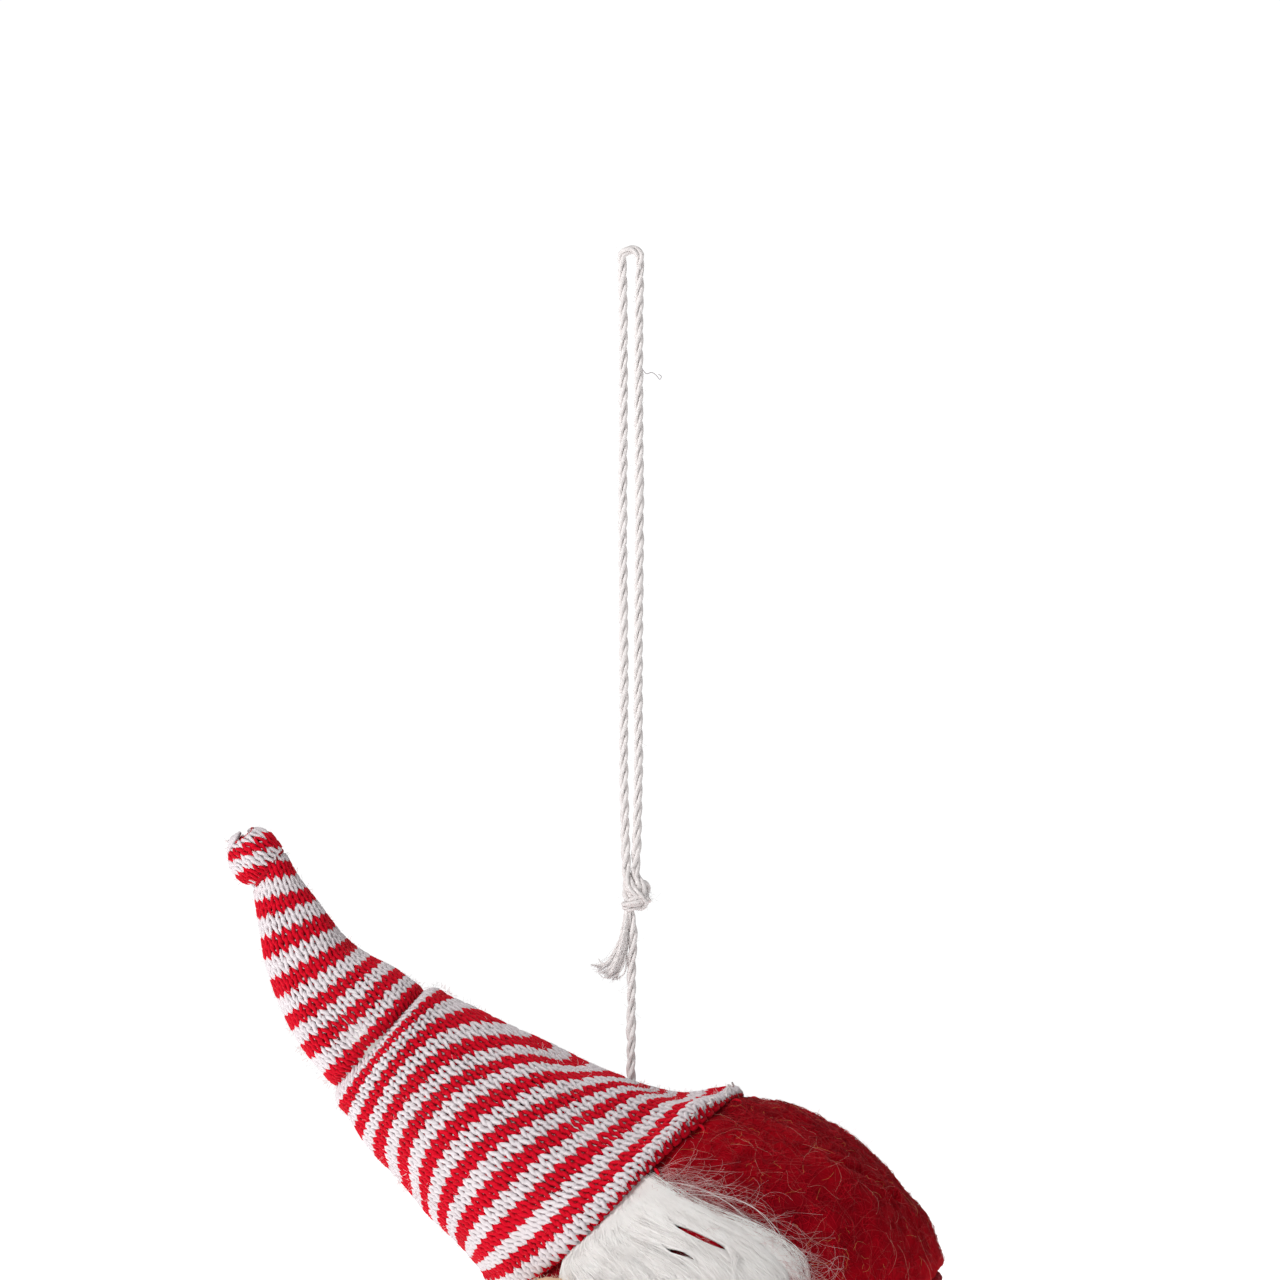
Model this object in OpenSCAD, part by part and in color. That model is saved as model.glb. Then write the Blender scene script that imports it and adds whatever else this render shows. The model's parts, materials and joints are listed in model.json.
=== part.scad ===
// Hanging tomte: a felted wool gnome with a knitted, stuffed hat, hung on a cotton cord.
// The row frame has its origin where the cord loop rests on its hook, +Z up.
// The gnome is drawn upright in its own frame, with its origin at the centre of the body
// ball, +X towards the side that the hat leans to and +Z towards the hat, and is then
// turned into the attitude in which it hangs.

/* [Cord] */
// Diameter of the cotton cord
cord_d = 1.4; // [1:0.1:2.5]
// Drop from the hook to the place where the cord enters the hat
cord_drop = 127.5; // [120:0.5:128]
// Radius of the bend at the top of the loop, at the middle of the cord
loop_bend_r = 1.4; // [1.2:0.1:3]
// Height of the middle of the knot, below the hook
knot_drop = 100.7; // [98:0.1:101]

/* [Pose] */
// Lean of the gnome as it hangs, from upright
hang_tilt = 38; // [25:1:45]
// Turn of the face away from the side that the hat leans to
face_turn = 48; // [0:1:90]

/* [Body] */
// Radius of the felted ball
ball_r = 34.5; // [30:0.5:40]
// Distance of the base plane below the middle of the ball
base_drop = 14; // [10:0.5:20]
// Thickness of the felted wool over the core
felt_t = 7; // [4:0.5:9]
// Radius of the felt disc under the body
base_disc_r = 30; // [24:0.5:30.5]
// Thickness of the felt disc
base_disc_t = 2; // [1:0.5:4]

/* [Face] */
// Radius of the nose
nose_r = 8; // [5:0.5:8.5]
// Distance of the nose's middle from the body's axis
nose_out = 32; // [30:0.5:34]
// Height of the nose's middle above the middle of the ball
nose_up = 17; // [10:0.5:17]
// Thickness of the beard at its fullest
beard_t = 6; // [3:0.5:8]

/* [Hat] */
// Thickness of the knitted fabric
knit_t = 1.2; // [0.8:0.1:1.5]
// Radius of the rolled edge of the brim
brim_roll_r = 0.95; // [0.6:0.05:1]
// Radius of the rounded foot on which the hat's tip flops
flop_r = 9.2; // [7:0.1:9.4]
// Thickness of the gathering thread at the tip
thread_d = 0.7; // [0.4:0.1:1]

/* [Hidden] */
fit = 0.25;                 // clearance between neighbouring pieces
flop_fit = 0.4;             // clearance of the hat tip's rounded foot in its socket
cord_sides = 8;
ring_gap = 3 * cord_d;      // spacing of the rings along the cord
ring_n = 40;                // corners round a hat section
cord_entry = [-12.1, 0, 40.6];

// Sections of the hat: lean forward, height, half width, tilt (front edge up), depth ratio
hat_sections = [
    [1.2, 26, 24.5, 0, 1], [2.7, 29.5, 23.6, 1, 1], [6.3, 35, 20.7, 3, 0.98],
    [10.3, 46, 17.7, 3, 0.95], [13.2, 56, 15, 0, 0.95], [15.7, 65.6, 12.3, -11.5, 0.97],
    [17.5, 74, 10.1, -4, 1], [18, 81, 8, 0, 1], [17.1, 88, 6.5, 0, 1],
    [15.6, 94, 5.1, -4, 1], [13.6, 100, 4.1, -11, 1]];
crease = 5;                                  // the section at which the tip flops
crease_tilt = hat_sections[crease][3];
crease_at = [hat_sections[crease][0], 0, hat_sections[crease][1]];
tip_start = 5.6;                             // where the tip's fabric begins, above the crease
tip_end = len(hat_sections) - 1;
tip_ups = concat([for (u = [tip_start : 0.4 : tip_end - 0.2]) u], [tip_end]);
blob_at = [14.1, 0, 103.2];                  // the gathered ball of fabric at the very tip
blob_r = 4.6;
blob_tilt = -20;
brim_at = [0.45, 0, 27];                     // middle of the rolled edge
brim_ring_r = 23.6;
brim_sides = 11;
knit_start = 0.72;                           // where the fabric begins, above the rolled edge
anchor_at = cord_entry + [5.5, 0, -2];       // the knot that stops the cord inside the hat
anchor_r = 2;
knot_core_r = 2;
knot_turn_r = 1.7;
tacks = 12;                                  // stitches that sew the brim to the ball
tack_lat = 46.5;
tack_len = 0.6;

// Routes of the cord, from the knot up one strand, over the hook and down the other
strand = [[1.2, -12], [1.2, -26], [1.3, -40], [1.2, -54], [1.1, -68], [1.2, -82], [1, -92], [0.9, -98]];
bend_z = cord_d / 2 - loop_bend_r;
bend = [for (a = [0 : 30 : 180]) [-loop_bend_r * cos(a), 0, bend_z + loop_bend_r * sin(a)]];
loop_route = concat(
    [for (i = [len(strand) - 1 : -1 : 0]) [-strand[i][0], 0, strand[i][1]]],
    [[-1.3, 0, -5]], bend, [[1.3, 0, -5]],
    [for (p = strand) [p[0], 0, p[1]]]);
lead_top = -knot_drop - 3.2;
lead_route = [[0, 0, lead_top], [0, 0, lead_top - 8], [0, 0, -cord_drop + 8], [0, 0, -cord_drop + 0.1]];
tail_route = [[-0.9, 0, -knot_drop - 1.3], [-1.8, 0, -103.7], [-2, 0, -106.5], [-2.5, 0, -109],
    [-3.8, 0, -110.8], [-5.4, 0, -111.2]];

// ---- shapes ----

// One value of a smooth curve through v1 and v2, between its neighbours v0 and v3
function between(v0, v1, v2, v3, t) =
    0.5 * (2 * v1 + (v2 - v0) * t + (2 * v0 - 5 * v1 + 4 * v2 - v3) * t * t
        + (3 * v1 - v0 - 3 * v2 + v3) * t * t * t);

// The point at u on the smooth curve through a list, where u counts its entries
function along(list, u) = let (
        last = len(list) - 1, i = min(floor(u), last - 1), t = u - i)
    between(list[max(i - 1, 0)], list[i], list[i + 1], list[min(i + 2, last)], t);

// A hat section at u, drawn in by inset all round
function hat_ring(u, inset) = let (s = along(hat_sections, u))
    [for (k = [0 : ring_n - 1]) let (a = 360 * k / ring_n, w = (s[2] - inset) * cos(a))
        [s[0] + w * cos(s[3]), (s[2] * s[4] - inset) * sin(a), s[1] + w * sin(s[3])]];

// A ring of radius r about a point, lying across an axis that leans by tilt degrees
function flat_ring(at, r, rise, tilt) =
    [for (k = [0 : ring_n - 1]) let (a = 360 * k / ring_n, w = r * cos(a))
        [at[0] + w * cos(tilt) - rise * sin(tilt), at[1] + r * sin(a),
            at[2] + w * sin(tilt) + rise * cos(tilt)]];

// A skin over a list of rings: closed at both ends, or joined end to start
module loft(rings, joined = false) {
    n = len(rings[0]);
    rows = len(rings);
    spans = joined ? rows : rows - 1;
    sides = [for (j = [0 : spans - 1], k = [0 : n - 1]) let (
            a = j * n + k, b = j * n + (k + 1) % n,
            c = ((j + 1) % rows) * n + (k + 1) % n, d = ((j + 1) % rows) * n + k)
        each [[a, c, b], [a, d, c]]];
    ends = joined ? [] : [[for (k = [0 : n - 1]) k], [for (k = [n - 1 : -1 : 0]) (rows - 1) * n + k]];
    polyhedron(points = [for (ring = rings) each ring], faces = concat(sides, ends), convexity = 10);
}

function unit(v) = v / norm(v);

// Points at an even spacing of about gap along a route
function spaced(route, gap) = [
    for (i = [0 : len(route) - 2]) let (
            steps = max(1, round(norm(route[i + 1] - route[i]) / gap)))
        for (j = [0 : steps - 1]) along(route, i + j / steps),
    route[len(route) - 1]];

// A round tube of diameter d, swept along a route in the XZ plane
module cord_tube(route, d) {
    line = spaced(route, ring_gap);
    last = len(line) - 1;
    loft([for (i = [0 : last]) let (
            t = unit(line[min(i + 1, last)] - line[max(i - 1, 0)]),
            side = [t[2], 0, -t[0]])
        [for (k = [0 : cord_sides - 1]) let (a = 360 * k / cord_sides)
            line[i] + d / 2 * (cos(a) * side + sin(a) * [0, 1, 0])]]);
}

// Turns the upright gnome into the attitude in which it hangs under the cord
module hung() {
    translate([0, 0, -cord_drop]) rotate([0, -hang_tilt, 0]) rotate([0, 0, 180])
        translate(-cord_entry) children();
}

// A sector of beard that lies on the ball. Each row gives its height as an angle above the
// middle of the ball, then the two angles from the nose between which it lies
module beard_lock(rows, across = 12) {
    reach = ball_r + fit;
    edge_t = 0.8;
    last = len(rows) - 1;
    loft([for (i = [0 : last]) let (
            row = rows[i], full = beard_t * (0.3 + 0.7 * sin(180 * (i + 0.5) / (last + 1))))
        concat(
            [for (k = [0 : across]) let (
                    az = row[1] + (row[2] - row[1]) * k / across,
                    r = reach + edge_t + full * sin(180 * k / across))
                r * [cos(row[0]) * cos(az), cos(row[0]) * sin(az), sin(row[0])]],
            [for (k = [across : -1 : 0]) let (az = row[1] + (row[2] - row[1]) * k / across)
                reach * [cos(row[0]) * cos(az), cos(row[0]) * sin(az), sin(row[0])]])]);
}

// Turns a piece that is drawn at +X to the face's side of the body
module on_face() {
    hung() rotate([0, 0, face_turn]) children();
}

// ---- the cord ----

module hanging_loop() {
    color("ivory") cord_tube(loop_route, cord_d);
}

// An overhand knot: a core with two turns of cord round it
module cord_knot() {
    color("ivory") translate([0.5, 0, -knot_drop]) {
        sphere(r = knot_core_r, $fn = 32);
        for (turn = [[25, 0.9], [-35, -0.7]])
            translate([0.2, 0, turn[1]]) rotate([0, turn[0], 0])
                rotate_extrude($fn = 48) translate([knot_turn_r, 0]) circle(d = cord_d, $fn = 24);
    }
}

module cord_tail() {
    color("ivory") cord_tube(tail_route, cord_d);
}

module cord_lead() {
    color("ivory") cord_tube(lead_route, cord_d);
}

module anchor_knot() {
    color("ivory") hung() translate(anchor_at) sphere(r = anchor_r, $fn = 32);
}

// ---- the hat ----

// The outside of the hat's lower part, and the same rings drawn in
module hat_knit() {
    ups = [for (u = [knit_start : 0.34 : crease - 0.1]) u];
    color("firebrick") hung() loft(concat(
        [for (u = ups) hat_ring(u, 0)],
        [hat_ring(crease, 0), hat_ring(crease, knit_t)],
        [for (i = [len(ups) - 1 : -1 : 0]) hat_ring(ups[i], knit_t)]), joined = true);
}

// The rolled edge of the brim
module hat_brim() {
    color("crimson") hung() loft([for (k = [0 : brim_sides - 1]) let (a = 360 * k / brim_sides)
        flat_ring(brim_at, brim_ring_r + brim_roll_r * cos(a), brim_roll_r * sin(a), 0)],
        joined = true);
}

// Batting in the lower part of the hat: hollow under, where the ball fits, and a socket on top
module hat_stuffing() {
    inset = knit_t + fit;
    socket_r = flop_r + flop_fit;
    dome_r = ball_r + flop_fit;
    color("wheat") hung() loft(concat(
        [for (a = [88 : -9 : 61]) flat_ring([0, 0, 0], dome_r * cos(a), dome_r * sin(a), 0)],
        [for (u = [1.4 : 0.4 : 4.8]) hat_ring(u, inset)],
        [hat_ring(crease, inset)],
        [for (a = [0 : 15 : 75])
            flat_ring(crease_at, socket_r * cos(a), -socket_r * sin(a), crease_tilt)]));
}

// The tip's fabric: a closed cap over the tip's batting
module tip_knit() {
    cap = [for (a = [0 : 22 : 88]) a];
    color("firebrick") hung() loft(concat(
        [for (i = [len(cap) - 1 : -1 : 0]) flat_ring(blob_at, (blob_r - knit_t) * cos(cap[i]),
            (blob_r - knit_t) * sin(cap[i]), blob_tilt)],
        [for (i = [len(tip_ups) - 1 : -1 : 0]) hat_ring(tip_ups[i], knit_t)],
        [for (u = tip_ups) hat_ring(u, 0)],
        [for (a = cap) flat_ring(blob_at, blob_r * cos(a), blob_r * sin(a), blob_tilt)]));
}

// Batting in the tip, with the rounded foot that turns in the socket
module tip_stuffing() {
    inset = knit_t + fit;
    color("wheat") hung() loft(concat(
        [for (a = [-75 : 15 : 15])
            flat_ring(crease_at, flop_r * cos(a), flop_r * sin(a), crease_tilt)],
        [for (u = tip_ups) hat_ring(u, inset)],
        [for (a = [0 : 22 : 88]) flat_ring(blob_at, (blob_r - inset) * cos(a),
            (blob_r - inset) * sin(a), blob_tilt)]));
}

// The thread that gathers the tip under its little ball
module tip_gather() {
    neck = hat_sections[tip_end];
    color("white") hung() translate([neck[0], 0, neck[1]]) rotate([0, -neck[3], 0])
        rotate_extrude($fn = 64) translate([neck[2] + fit + thread_d / 2, 0])
            circle(d = thread_d, $fn = 16);
}

// Small tacks that sew the brim to the ball
module brim_stitches() {
    color("darkred") hung()
        for (k = [0 : tacks - 1]) rotate([0, 0, (k + 0.5) * 360 / tacks])
            rotate([0, -tack_lat, 0]) translate([ball_r + 0.1, 0, 0]) rotate([0, 90, 0])
                cylinder(d = thread_d, h = tack_len, $fn = 16);
}

// ---- the body ----

// A ball cut flat below, of radius r, with its flat at drop below the middle
module cut_ball(r, drop) {
    intersection() {
        sphere(r = r, $fn = 96);
        translate([0, 0, -drop]) cylinder(r = 2 * r, h = 3 * r);
    }
}

module body_felt() {
    color("darkred") hung() difference() {
        cut_ball(ball_r, base_drop);
        cut_ball(ball_r - felt_t, base_drop - felt_t + 1);
    }
}

// A hollow ball that has the mass of a solid foam one
module core_ball() {
    core_r = ball_r - felt_t - fit;
    drop = base_drop - felt_t + 1 - fit;
    color("whitesmoke") hung() difference() {
        cut_ball(core_r, drop);
        cut_ball(core_r - 1, drop - 1);
    }
}

module base_disc() {
    color("maroon") hung() translate([0, 0, -base_drop - base_disc_t])
        cylinder(r = base_disc_r, h = base_disc_t, $fn = 96);
}

// A ball with a hollow back that fits the body, turned about the line from the body's middle
module nose() {
    away = norm([nose_out, nose_up]);
    rim = (away * away + ball_r * ball_r - nose_r * nose_r) / (2 * away);
    seat_deg = acos(rim / ball_r);
    rim_deg = acos((rim - away) / nose_r);
    color("peachpuff") on_face() rotate([0, atan2(nose_out, nose_up), 0])
        rotate_extrude($fn = 64) polygon(concat(
            [for (k = [0 : 6]) ball_r * [sin(seat_deg * k / 6), cos(seat_deg * k / 6)]],
            [for (k = [1 : 18]) let (a = rim_deg * (1 - k / 18))
                [nose_r * sin(a), away + nose_r * cos(a)]]));
}

// Rows of a side lock: how far up the ball, and the angles from the nose where it starts and ends
side_rows = [[41, 26, 50], [36, 17, 55], [28, 15.5, 60], [18, 15.2, 65], [9, 15, 68], [0, 15, 67],
    [-8, 15, 60], [-15, 15, 48], [-20, 15, 36]];

module beard_left() {
    color("white") on_face() beard_lock([for (r = side_rows) [r[0], -r[2], -r[1]]]);
}

module beard_right() {
    color("white") on_face() beard_lock([for (r = side_rows) [r[0], r[1], r[2]]]);
}

module beard_chin() {
    color("white") on_face()
        beard_lock([for (lat = [12, 5, -3, -10, -16, -20]) [lat, -14.2, 14.2]]);
}

hanging_loop();
cord_knot();
cord_tail();
cord_lead();
anchor_knot();
hat_knit();
hat_brim();
hat_stuffing();
body_felt();
core_ball();
base_disc();
nose();
beard_left();
beard_right();
beard_chin();
brim_stitches();
tip_knit();
tip_stuffing();
tip_gather();
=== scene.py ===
import json
import math
import time

import bpy
import numpy as np
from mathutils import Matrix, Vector


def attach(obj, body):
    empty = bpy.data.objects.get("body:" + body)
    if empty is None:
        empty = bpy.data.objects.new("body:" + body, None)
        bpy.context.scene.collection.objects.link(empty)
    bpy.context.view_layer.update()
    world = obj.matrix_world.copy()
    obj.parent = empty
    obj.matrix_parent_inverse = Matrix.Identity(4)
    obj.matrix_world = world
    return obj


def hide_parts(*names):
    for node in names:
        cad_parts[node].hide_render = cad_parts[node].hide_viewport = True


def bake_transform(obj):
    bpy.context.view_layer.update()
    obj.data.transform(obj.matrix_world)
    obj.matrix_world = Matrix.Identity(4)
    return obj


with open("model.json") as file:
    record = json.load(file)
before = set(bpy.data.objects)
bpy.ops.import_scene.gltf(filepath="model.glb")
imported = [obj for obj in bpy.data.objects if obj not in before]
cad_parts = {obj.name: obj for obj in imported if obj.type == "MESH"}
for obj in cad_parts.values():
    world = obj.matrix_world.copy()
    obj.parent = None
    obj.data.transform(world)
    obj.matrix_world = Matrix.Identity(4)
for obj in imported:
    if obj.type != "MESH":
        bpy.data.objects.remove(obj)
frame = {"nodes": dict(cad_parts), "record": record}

startedAt = time.time()
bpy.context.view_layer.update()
mm = 0.001
fullTurn = 2 * math.pi


def say(stage):
    print(f"{stage}: {time.time() - startedAt:.1f} s")


view = {"place": (0.0014, -1.2, -0.0606), "across": 0.201, "sensor": 36, "nearest": 0.05, "farthest": 20}
camera = bpy.data.objects.new("camera", bpy.data.cameras.new("camera"))
bpy.context.scene.collection.objects.link(camera)
camera.location = view["place"]
camera.rotation_euler = (math.radians(90), 0, 0)
camera.data.sensor_width = view["sensor"]
camera.data.lens = view["sensor"] * -view["place"][1] / view["across"]
camera.data.clip_start = view["nearest"]
camera.data.clip_end = view["farthest"]
bpy.context.scene.camera = camera


class Wire:  # a node's output that takes part in sums
    def __init__(self, paint, socket):
        self.paint, self.socket = paint, socket

    def work(self, operation, other, flipped=False):
        pair = (other, self) if flipped else (self, other)
        return self.paint.add("ShaderNodeMath", {"operation": operation}, {0: pair[0], 1: pair[1]})

    def __add__(self, other):
        return self.work("ADD", other)

    def __sub__(self, other):
        return self.work("SUBTRACT", other)

    def __rsub__(self, other):
        return self.work("SUBTRACT", other, True)

    def __mul__(self, other):
        return self.work("MULTIPLY", other)

    def __gt__(self, other):
        return self.work("GREATER_THAN", other)

    __radd__ = __add__
    __rmul__ = __mul__


class Paint:  # one material and its nodes
    def __init__(self, name, **fixed):
        self.material = bpy.data.materials.new(name)
        self.material.use_nodes = True
        self.tree = self.material.node_tree
        self.tree.nodes.clear()
        self.shader = self.tree.nodes.new("ShaderNodeBsdfPrincipled")
        output = self.tree.nodes.new("ShaderNodeOutputMaterial")
        self.tree.links.new(self.shader.outputs[0], output.inputs[0])
        for socket, value in fixed.items():
            self.shader.inputs[socket.replace("_", " ")].default_value = value

    def plug(self, socket, value):
        if isinstance(value, Wire):
            self.tree.links.new(value.socket, socket)
        elif isinstance(value, tuple) and len(value) == 3 and socket.type == "RGBA":
            socket.default_value = (*value, 1)
        else:
            socket.default_value = value

    def add(self, kind, settings=None, sockets=None, out=0):
        node = self.tree.nodes.new(kind)
        for key, value in (settings or {}).items():
            if key == "stops":
                ramp = node.color_ramp
                while len(ramp.elements) < len(value):
                    ramp.elements.new(0.5)
                for stop, (at, shade) in zip(ramp.elements, value):
                    stop.position, stop.color = at, (*shade, 1)
            else:
                setattr(node, key, value)
        for key, value in (sockets or {}).items():
            self.plug(node.inputs[key], value)
        return Wire(self, node.outputs[out])

    def mixed(self, factor, first, second):  # colour between first and second
        return self.add("ShaderNodeMix", {"data_type": "RGBA"}, {0: factor, 6: first, 7: second}, 2)

    def place(self):
        return self.add("ShaderNodeAttribute", {"attribute_name": "restPlace"}, out=1)

    def strand(self):  # along the strand in mm, then the cosine and sine round it
        spot = self.add("ShaderNodeAttribute", {"attribute_name": "strand"}, out=1)
        node = self.add("ShaderNodeSeparateXYZ", None, {0: spot}).socket.node
        return [Wire(self, node.outputs[i]) for i in range(3)]

    def cloud(self, where, scale, detail=3.0, rough=0.55):
        return self.add("ShaderNodeTexNoise", None,
                        {"Vector": where, "Scale": scale, "Detail": detail, "Roughness": rough})

    def set(self, **sockets):
        for socket, value in sockets.items():
            self.plug(self.shader.inputs[socket.replace("_", " ")], value)
        return self.material

    def bump(self, height, strength, depth):
        return self.add("ShaderNodeBump", None,
                        {"Height": height, "Strength": strength, "Distance": depth})


# deep: how strongly painted shade darkens the flanks of each yarn
def yarnPaint(name, base, shade, speck, speckShare, pitch, sheen, sheenTint=(1, 1, 1), deep=0.0, plies=2):
    paint = Paint(name, Roughness=0.85, Sheen_Weight=sheen, Sheen_Roughness=0.45,
                  Sheen_Tint=(*sheenTint, 1), Specular_IOR_Level=0.12)
    where = paint.place()
    along, cosine, sine = paint.strand()
    turn = paint.add("ShaderNodeMath", {"operation": "ARCTAN2"}, {0: sine, 1: cosine})
    twist = paint.add("ShaderNodeMath", {"operation": "SINE"},
                      {0: along * (fullTurn / pitch) + turn * plies})
    fine = paint.cloud(where, 2600.0, 4.0, 0.65)
    broad = paint.cloud(where, 160.0)
    flankShade = 0.45 - sine                                   # painted shade: the flanks of a yarn are darkened, as less light reaches them
    # mixedTone: random tone from noise, plus painted shade on the yarn's flanks, as strong as deep
    mixedTone = paint.mixed(fine * 0.9 + broad * 0.5 - 0.4 + flankShade * deep, base, shade)
    flecks = paint.cloud(where, 1900.0, 1.0) > (1 - speckShare)
    colour = paint.mixed(flecks * 0.8, mixedTone, speck)
    height = twist * 0.35 + fine * 0.9
    return paint.set(Base_Color=colour, Normal=paint.bump(height, 0.6, 0.12 * mm),
                     Roughness=0.75 + fine * 0.25)


def feltPaint(name, base, shade, light, scale=1.0, sheen=0.4, sheenTint=(1, 0.5, 0.5)):
    paint = Paint(name, Sheen_Weight=sheen, Sheen_Roughness=0.5, Sheen_Tint=(*sheenTint, 1),
                  Specular_IOR_Level=0.06)
    where = paint.place()
    broad = paint.cloud(where, 55.0 * scale, 3.0)
    matted = paint.cloud(where, 420.0 * scale, 5.0, 0.7)
    stretched = paint.add("ShaderNodeMapping", None, {"Vector": where, "Scale": (1.0, 4.0, 2.0)})
    threads = paint.cloud(stretched, 520.0 * scale, 4.0, 0.75)
    mixedTone = paint.mixed(broad * 1.6 - 0.35, base, shade)
    streak = paint.add("ShaderNodeValToRGB", {"stops": [(0.52, (0, 0, 0)), (0.75, (1, 1, 1))]},
                       {0: threads})
    colour = paint.mixed(streak * 0.30, mixedTone, light)
    height = matted + threads * 0.7
    return paint.set(Base_Color=colour, Normal=paint.bump(height, 0.8, 0.35 * mm),
                     Roughness=0.8 + matted * 0.2)


def fibrePaint(name, base, tip, sheen=0.2):
    paint = Paint(name, Roughness=0.7, Sheen_Weight=sheen, Specular_IOR_Level=0.1)
    where = paint.place()
    colour = paint.mixed(paint.cloud(where, 300.0, 2.0) * 1.8 - 0.4, base, tip)
    height = paint.cloud(where, 3000.0, 2.0)
    return paint.set(Base_Color=colour, Normal=paint.bump(height, 0.3, 0.05 * mm))


cottonWhite = yarnPaint("cottonWhite", (0.83, 0.79, 0.78), (0.68, 0.63, 0.62), (0.90, 0.87, 0.86),
                        speckShare=0.3, pitch=1.6, sheen=0.25)
# knitWhite and knitRed get painted shade on their yarns' flanks (deep=0.75)
knitWhite = yarnPaint("knitWhite", (0.75, 0.69, 0.71), (0.42, 0.35, 0.38), (0.84, 0.79, 0.81),
                      speckShare=0.3, pitch=2.2, sheen=0.15, sheenTint=(1, 0.97, 1), deep=0.75)
knitRed = yarnPaint("knitRed", (0.64, 0.001, 0.016), (0.26, 0.001, 0.008), (0.70, 0.12, 0.15),
                    speckShare=0.2, pitch=2.2, sheen=0.06, sheenTint=(1, 0.4, 0.4), deep=0.75)
# liningShadeRed: painted shade, a dark red for the gaps between stitches
liningShadeRed = feltPaint("liningShadeRed", (0.20, 0.02, 0.03), (0.10, 0.008, 0.014), (0.3, 0.06, 0.07),
                      scale=2.0, sheen=0.1)
feltRed = feltPaint("feltRed", (0.46, 0.0, 0.007), (0.10, 0.0, 0.004), (0.55, 0.003, 0.012), sheen=0.0)
baseRed = feltPaint("baseRed", (0.34, 0.002, 0.01), (0.16, 0.001, 0.007), (0.46, 0.02, 0.03),
                    scale=1.6, sheen=0.05)
skinFelt = feltPaint("skinFelt", (0.87, 0.60, 0.38), (0.78, 0.50, 0.31), (0.93, 0.74, 0.55),
                     scale=1.5, sheen=0.35, sheenTint=(1, 0.9, 0.8))
beardUnder = feltPaint("beardUnder", (0.86, 0.82, 0.80), (0.78, 0.74, 0.72), (0.92, 0.89, 0.87),
                       scale=1.3, sheen=0.3, sheenTint=(1, 1, 1))
battingWhite = feltPaint("battingWhite", (0.82, 0.81, 0.78), (0.7, 0.69, 0.66), (0.9, 0.9, 0.9),
                         sheen=0.2, sheenTint=(1, 1, 1))
foamWhite = feltPaint("foamWhite", (0.85, 0.85, 0.84), (0.74, 0.74, 0.73), (0.92, 0.92, 0.92),
                      scale=3.0, sheen=0.0)
beardWhite = fibrePaint("beardWhite", (0.89, 0.85, 0.83), (0.95, 0.93, 0.91))
beardMauve = fibrePaint("beardMauve", (0.52, 0.24, 0.23), (0.80, 0.62, 0.61))
fibreRed = fibrePaint("fibreRed", (0.28, 0.0, 0.006), (0.56, 0.002, 0.014), sheen=0.0)
fibrePink = fibrePaint("fibrePink", (0.40, 0.035, 0.04), (0.60, 0.14, 0.12), sheen=0.0)
fibreGold = fibrePaint("fibreGold", (0.55, 0.24, 0.05), (0.75, 0.40, 0.12))
fibreSkin = fibrePaint("fibreSkin", (0.90, 0.70, 0.50), (0.95, 0.84, 0.70))
fibreWhite = fibrePaint("fibreWhite", (0.84, 0.82, 0.83), (0.92, 0.91, 0.92))
fibreGrey = fibrePaint("fibreGrey", (0.22, 0.19, 0.20), (0.42, 0.38, 0.40))
fibreBright = fibrePaint("fibreBright", (0.70, 0.30, 0.22), (0.86, 0.56, 0.44))
say("materials")


baseToMiddle = 16                                       # from the base's mount up to the ball's middle
baseMount = next(m for m in frame["record"]["mounts"] if m["name"] == "base")
upWay = -np.array(baseMount["axis"], float)
upWay /= np.linalg.norm(upWay)
sideWay = np.array([0.0, -1.0, 0.0])                    # from the gnome towards the viewer
frontWay = np.cross(sideWay, upWay)                     # the side that the hat leans to
ballCentre = np.array(baseMount["pos_m"], float) / mm + upWay * baseToMiddle
gnomeTurn = np.stack([frontWay, sideWay, upWay])        # rows: the gnome's own axes


def toRow(points):  # from the gnome's own frame into the row frame
    return points @ gnomeTurn + ballCentre


def ripples(seed, size, count=26):  # a smooth random field with features of about that size
    draw = np.random.default_rng(seed)
    waves = draw.normal(size=(count, 3))
    waves *= (fullTurn / size * draw.uniform(0.6, 1.5, count) / np.linalg.norm(waves, axis=1))[:, None]
    phases = draw.uniform(0, fullTurn, count)
    return lambda p: np.sin(np.asarray(p) @ waves.T + phases).sum(-1) * math.sqrt(2 / count)


def unit(v):
    return v / np.maximum(np.linalg.norm(v, axis=-1, keepdims=True), 1e-9)


def tubes(lines, radius, sides, lean):  # round strands along lines (strands, points, xyz)
    strands, points, _ = lines.shape
    radius = np.broadcast_to(radius, (strands, points))
    along = unit(np.gradient(lines, axis=1))
    across = unit(np.cross(along, lean))
    over = np.cross(across, along)
    turn = np.arange(sides) / sides * fullTurn
    rings = (lines[:, :, None] + radius[:, :, None, None]
             * (np.cos(turn)[:, None] * across[:, :, None] + np.sin(turn)[:, None] * over[:, :, None]))
    order = np.arange(strands * points * sides).reshape(strands, points, sides)
    near, far = order[:, :-1], order[:, 1:]
    faces = np.stack([near, far, np.roll(far, -1, 2), np.roll(near, -1, 2)], -1).reshape(-1, 4)
    step = np.linalg.norm(np.diff(lines, axis=1), axis=-1)
    length = np.concatenate([np.zeros((strands, 1)), np.cumsum(step, axis=1)], axis=1)
    marks = np.stack([np.broadcast_to(length[:, :, None], rings.shape[:3]),
                      np.broadcast_to(np.cos(turn), rings.shape[:3]),
                      np.broadcast_to(np.sin(turn), rings.shape[:3])], -1)
    return rings.reshape(-1, 3), faces, marks.reshape(-1, 3)


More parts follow.
